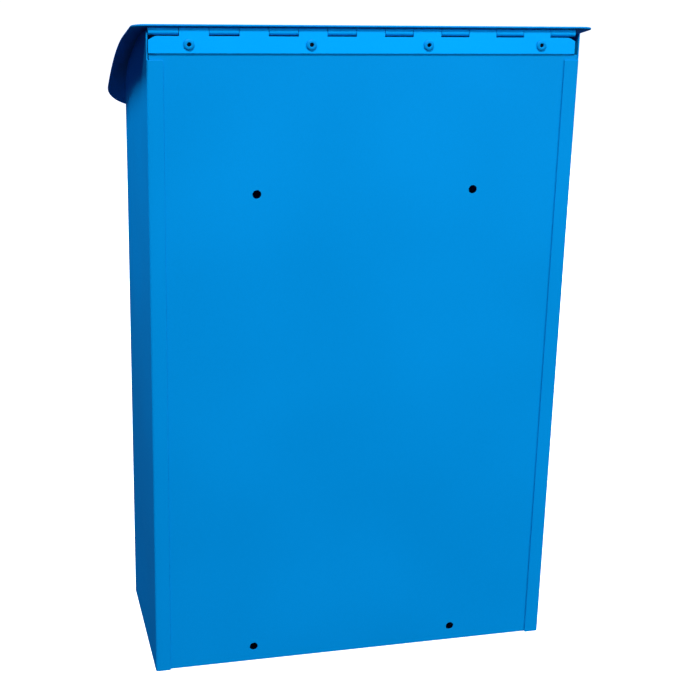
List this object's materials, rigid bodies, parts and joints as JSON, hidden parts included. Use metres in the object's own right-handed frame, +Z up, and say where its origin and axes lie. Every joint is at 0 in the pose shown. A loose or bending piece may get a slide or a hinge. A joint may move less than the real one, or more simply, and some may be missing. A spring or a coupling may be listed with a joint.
{
  "type": "wall mailbox",
  "caption": "Tall wall-hung steel mailbox with a curved lift-up lid on a continuous hinge, an inner drop chute and a lockable front door.",
  "frame": {"origin": "on the surface the box stands on, midway along the object's whole width and whole depth, the lid's overhangs included", "axes": "+Z up, +Y towards the wall, -Y out of the front, +X to the right of someone facing the front"},
  "size_m": [0.41, 0.2598, 0.5995],
  "materials": {
    "blue_paint": "satin powder coat",
    "plated_steel": "bright zinc plate",
    "chrome": "polished chrome plate"
  },
  "bodies": {
    "box": {"side_panel_left": "blue_paint", "side_panel_right": "blue_paint", "back_panel": "blue_paint", "floor_tray": "blue_paint", "front_panel": "blue_paint", "mail_chute": "blue_paint", "lid_hinge_back_leaf": "blue_paint", "lid_hinge_pin": "plated_steel", "back_rivet_1": "blue_paint", "back_rivet_2": "blue_paint", "back_rivet_3": "blue_paint", "back_rivet_4": "blue_paint", "door_hinge_frame_leaf": "blue_paint", "door_hinge_pin": "plated_steel", "frame_rivet_1": "blue_paint", "frame_rivet_2": "blue_paint", "frame_rivet_3": "blue_paint", "frame_rivet_4": "blue_paint"},
    "lid": {"lid_sheet": "blue_paint", "lid_hinge_lid_leaf": "blue_paint", "lid_rivet_1": "blue_paint", "lid_rivet_2": "blue_paint", "lid_rivet_3": "blue_paint", "lid_rivet_4": "blue_paint"},
    "door": {"door_panel": "blue_paint", "door_hinge_door_leaf": "blue_paint", "door_rivet_1": "blue_paint", "door_rivet_2": "blue_paint", "door_rivet_3": "blue_paint", "door_rivet_4": "blue_paint", "lock_body": "chrome", "lock_nut": "plated_steel"},
    "lock": {"lock_plug": "chrome", "lock_cam": "plated_steel", "cam_screw": "plated_steel"}
  },
  "joints": [
    {"name": "lid_lift", "type": "hinge", "parent": "box", "child": "lid", "pos_m": [0, 0.12355, 0.59323], "axis": [-1, 0, 0], "range_deg": [0, 90]},
    {"name": "door_swing", "type": "hinge", "parent": "box", "child": "door", "pos_m": [-0.1515, -0.04484, 0.25153], "axis": [0, 0, -1], "range_deg": [0, 135]},
    {"name": "lock_turn", "type": "hinge", "parent": "door", "child": "lock", "pos_m": [0.1315, -0.04455, 0.25153], "axis": [0, -1, 0], "range_deg": [0, 90]}
  ]
}
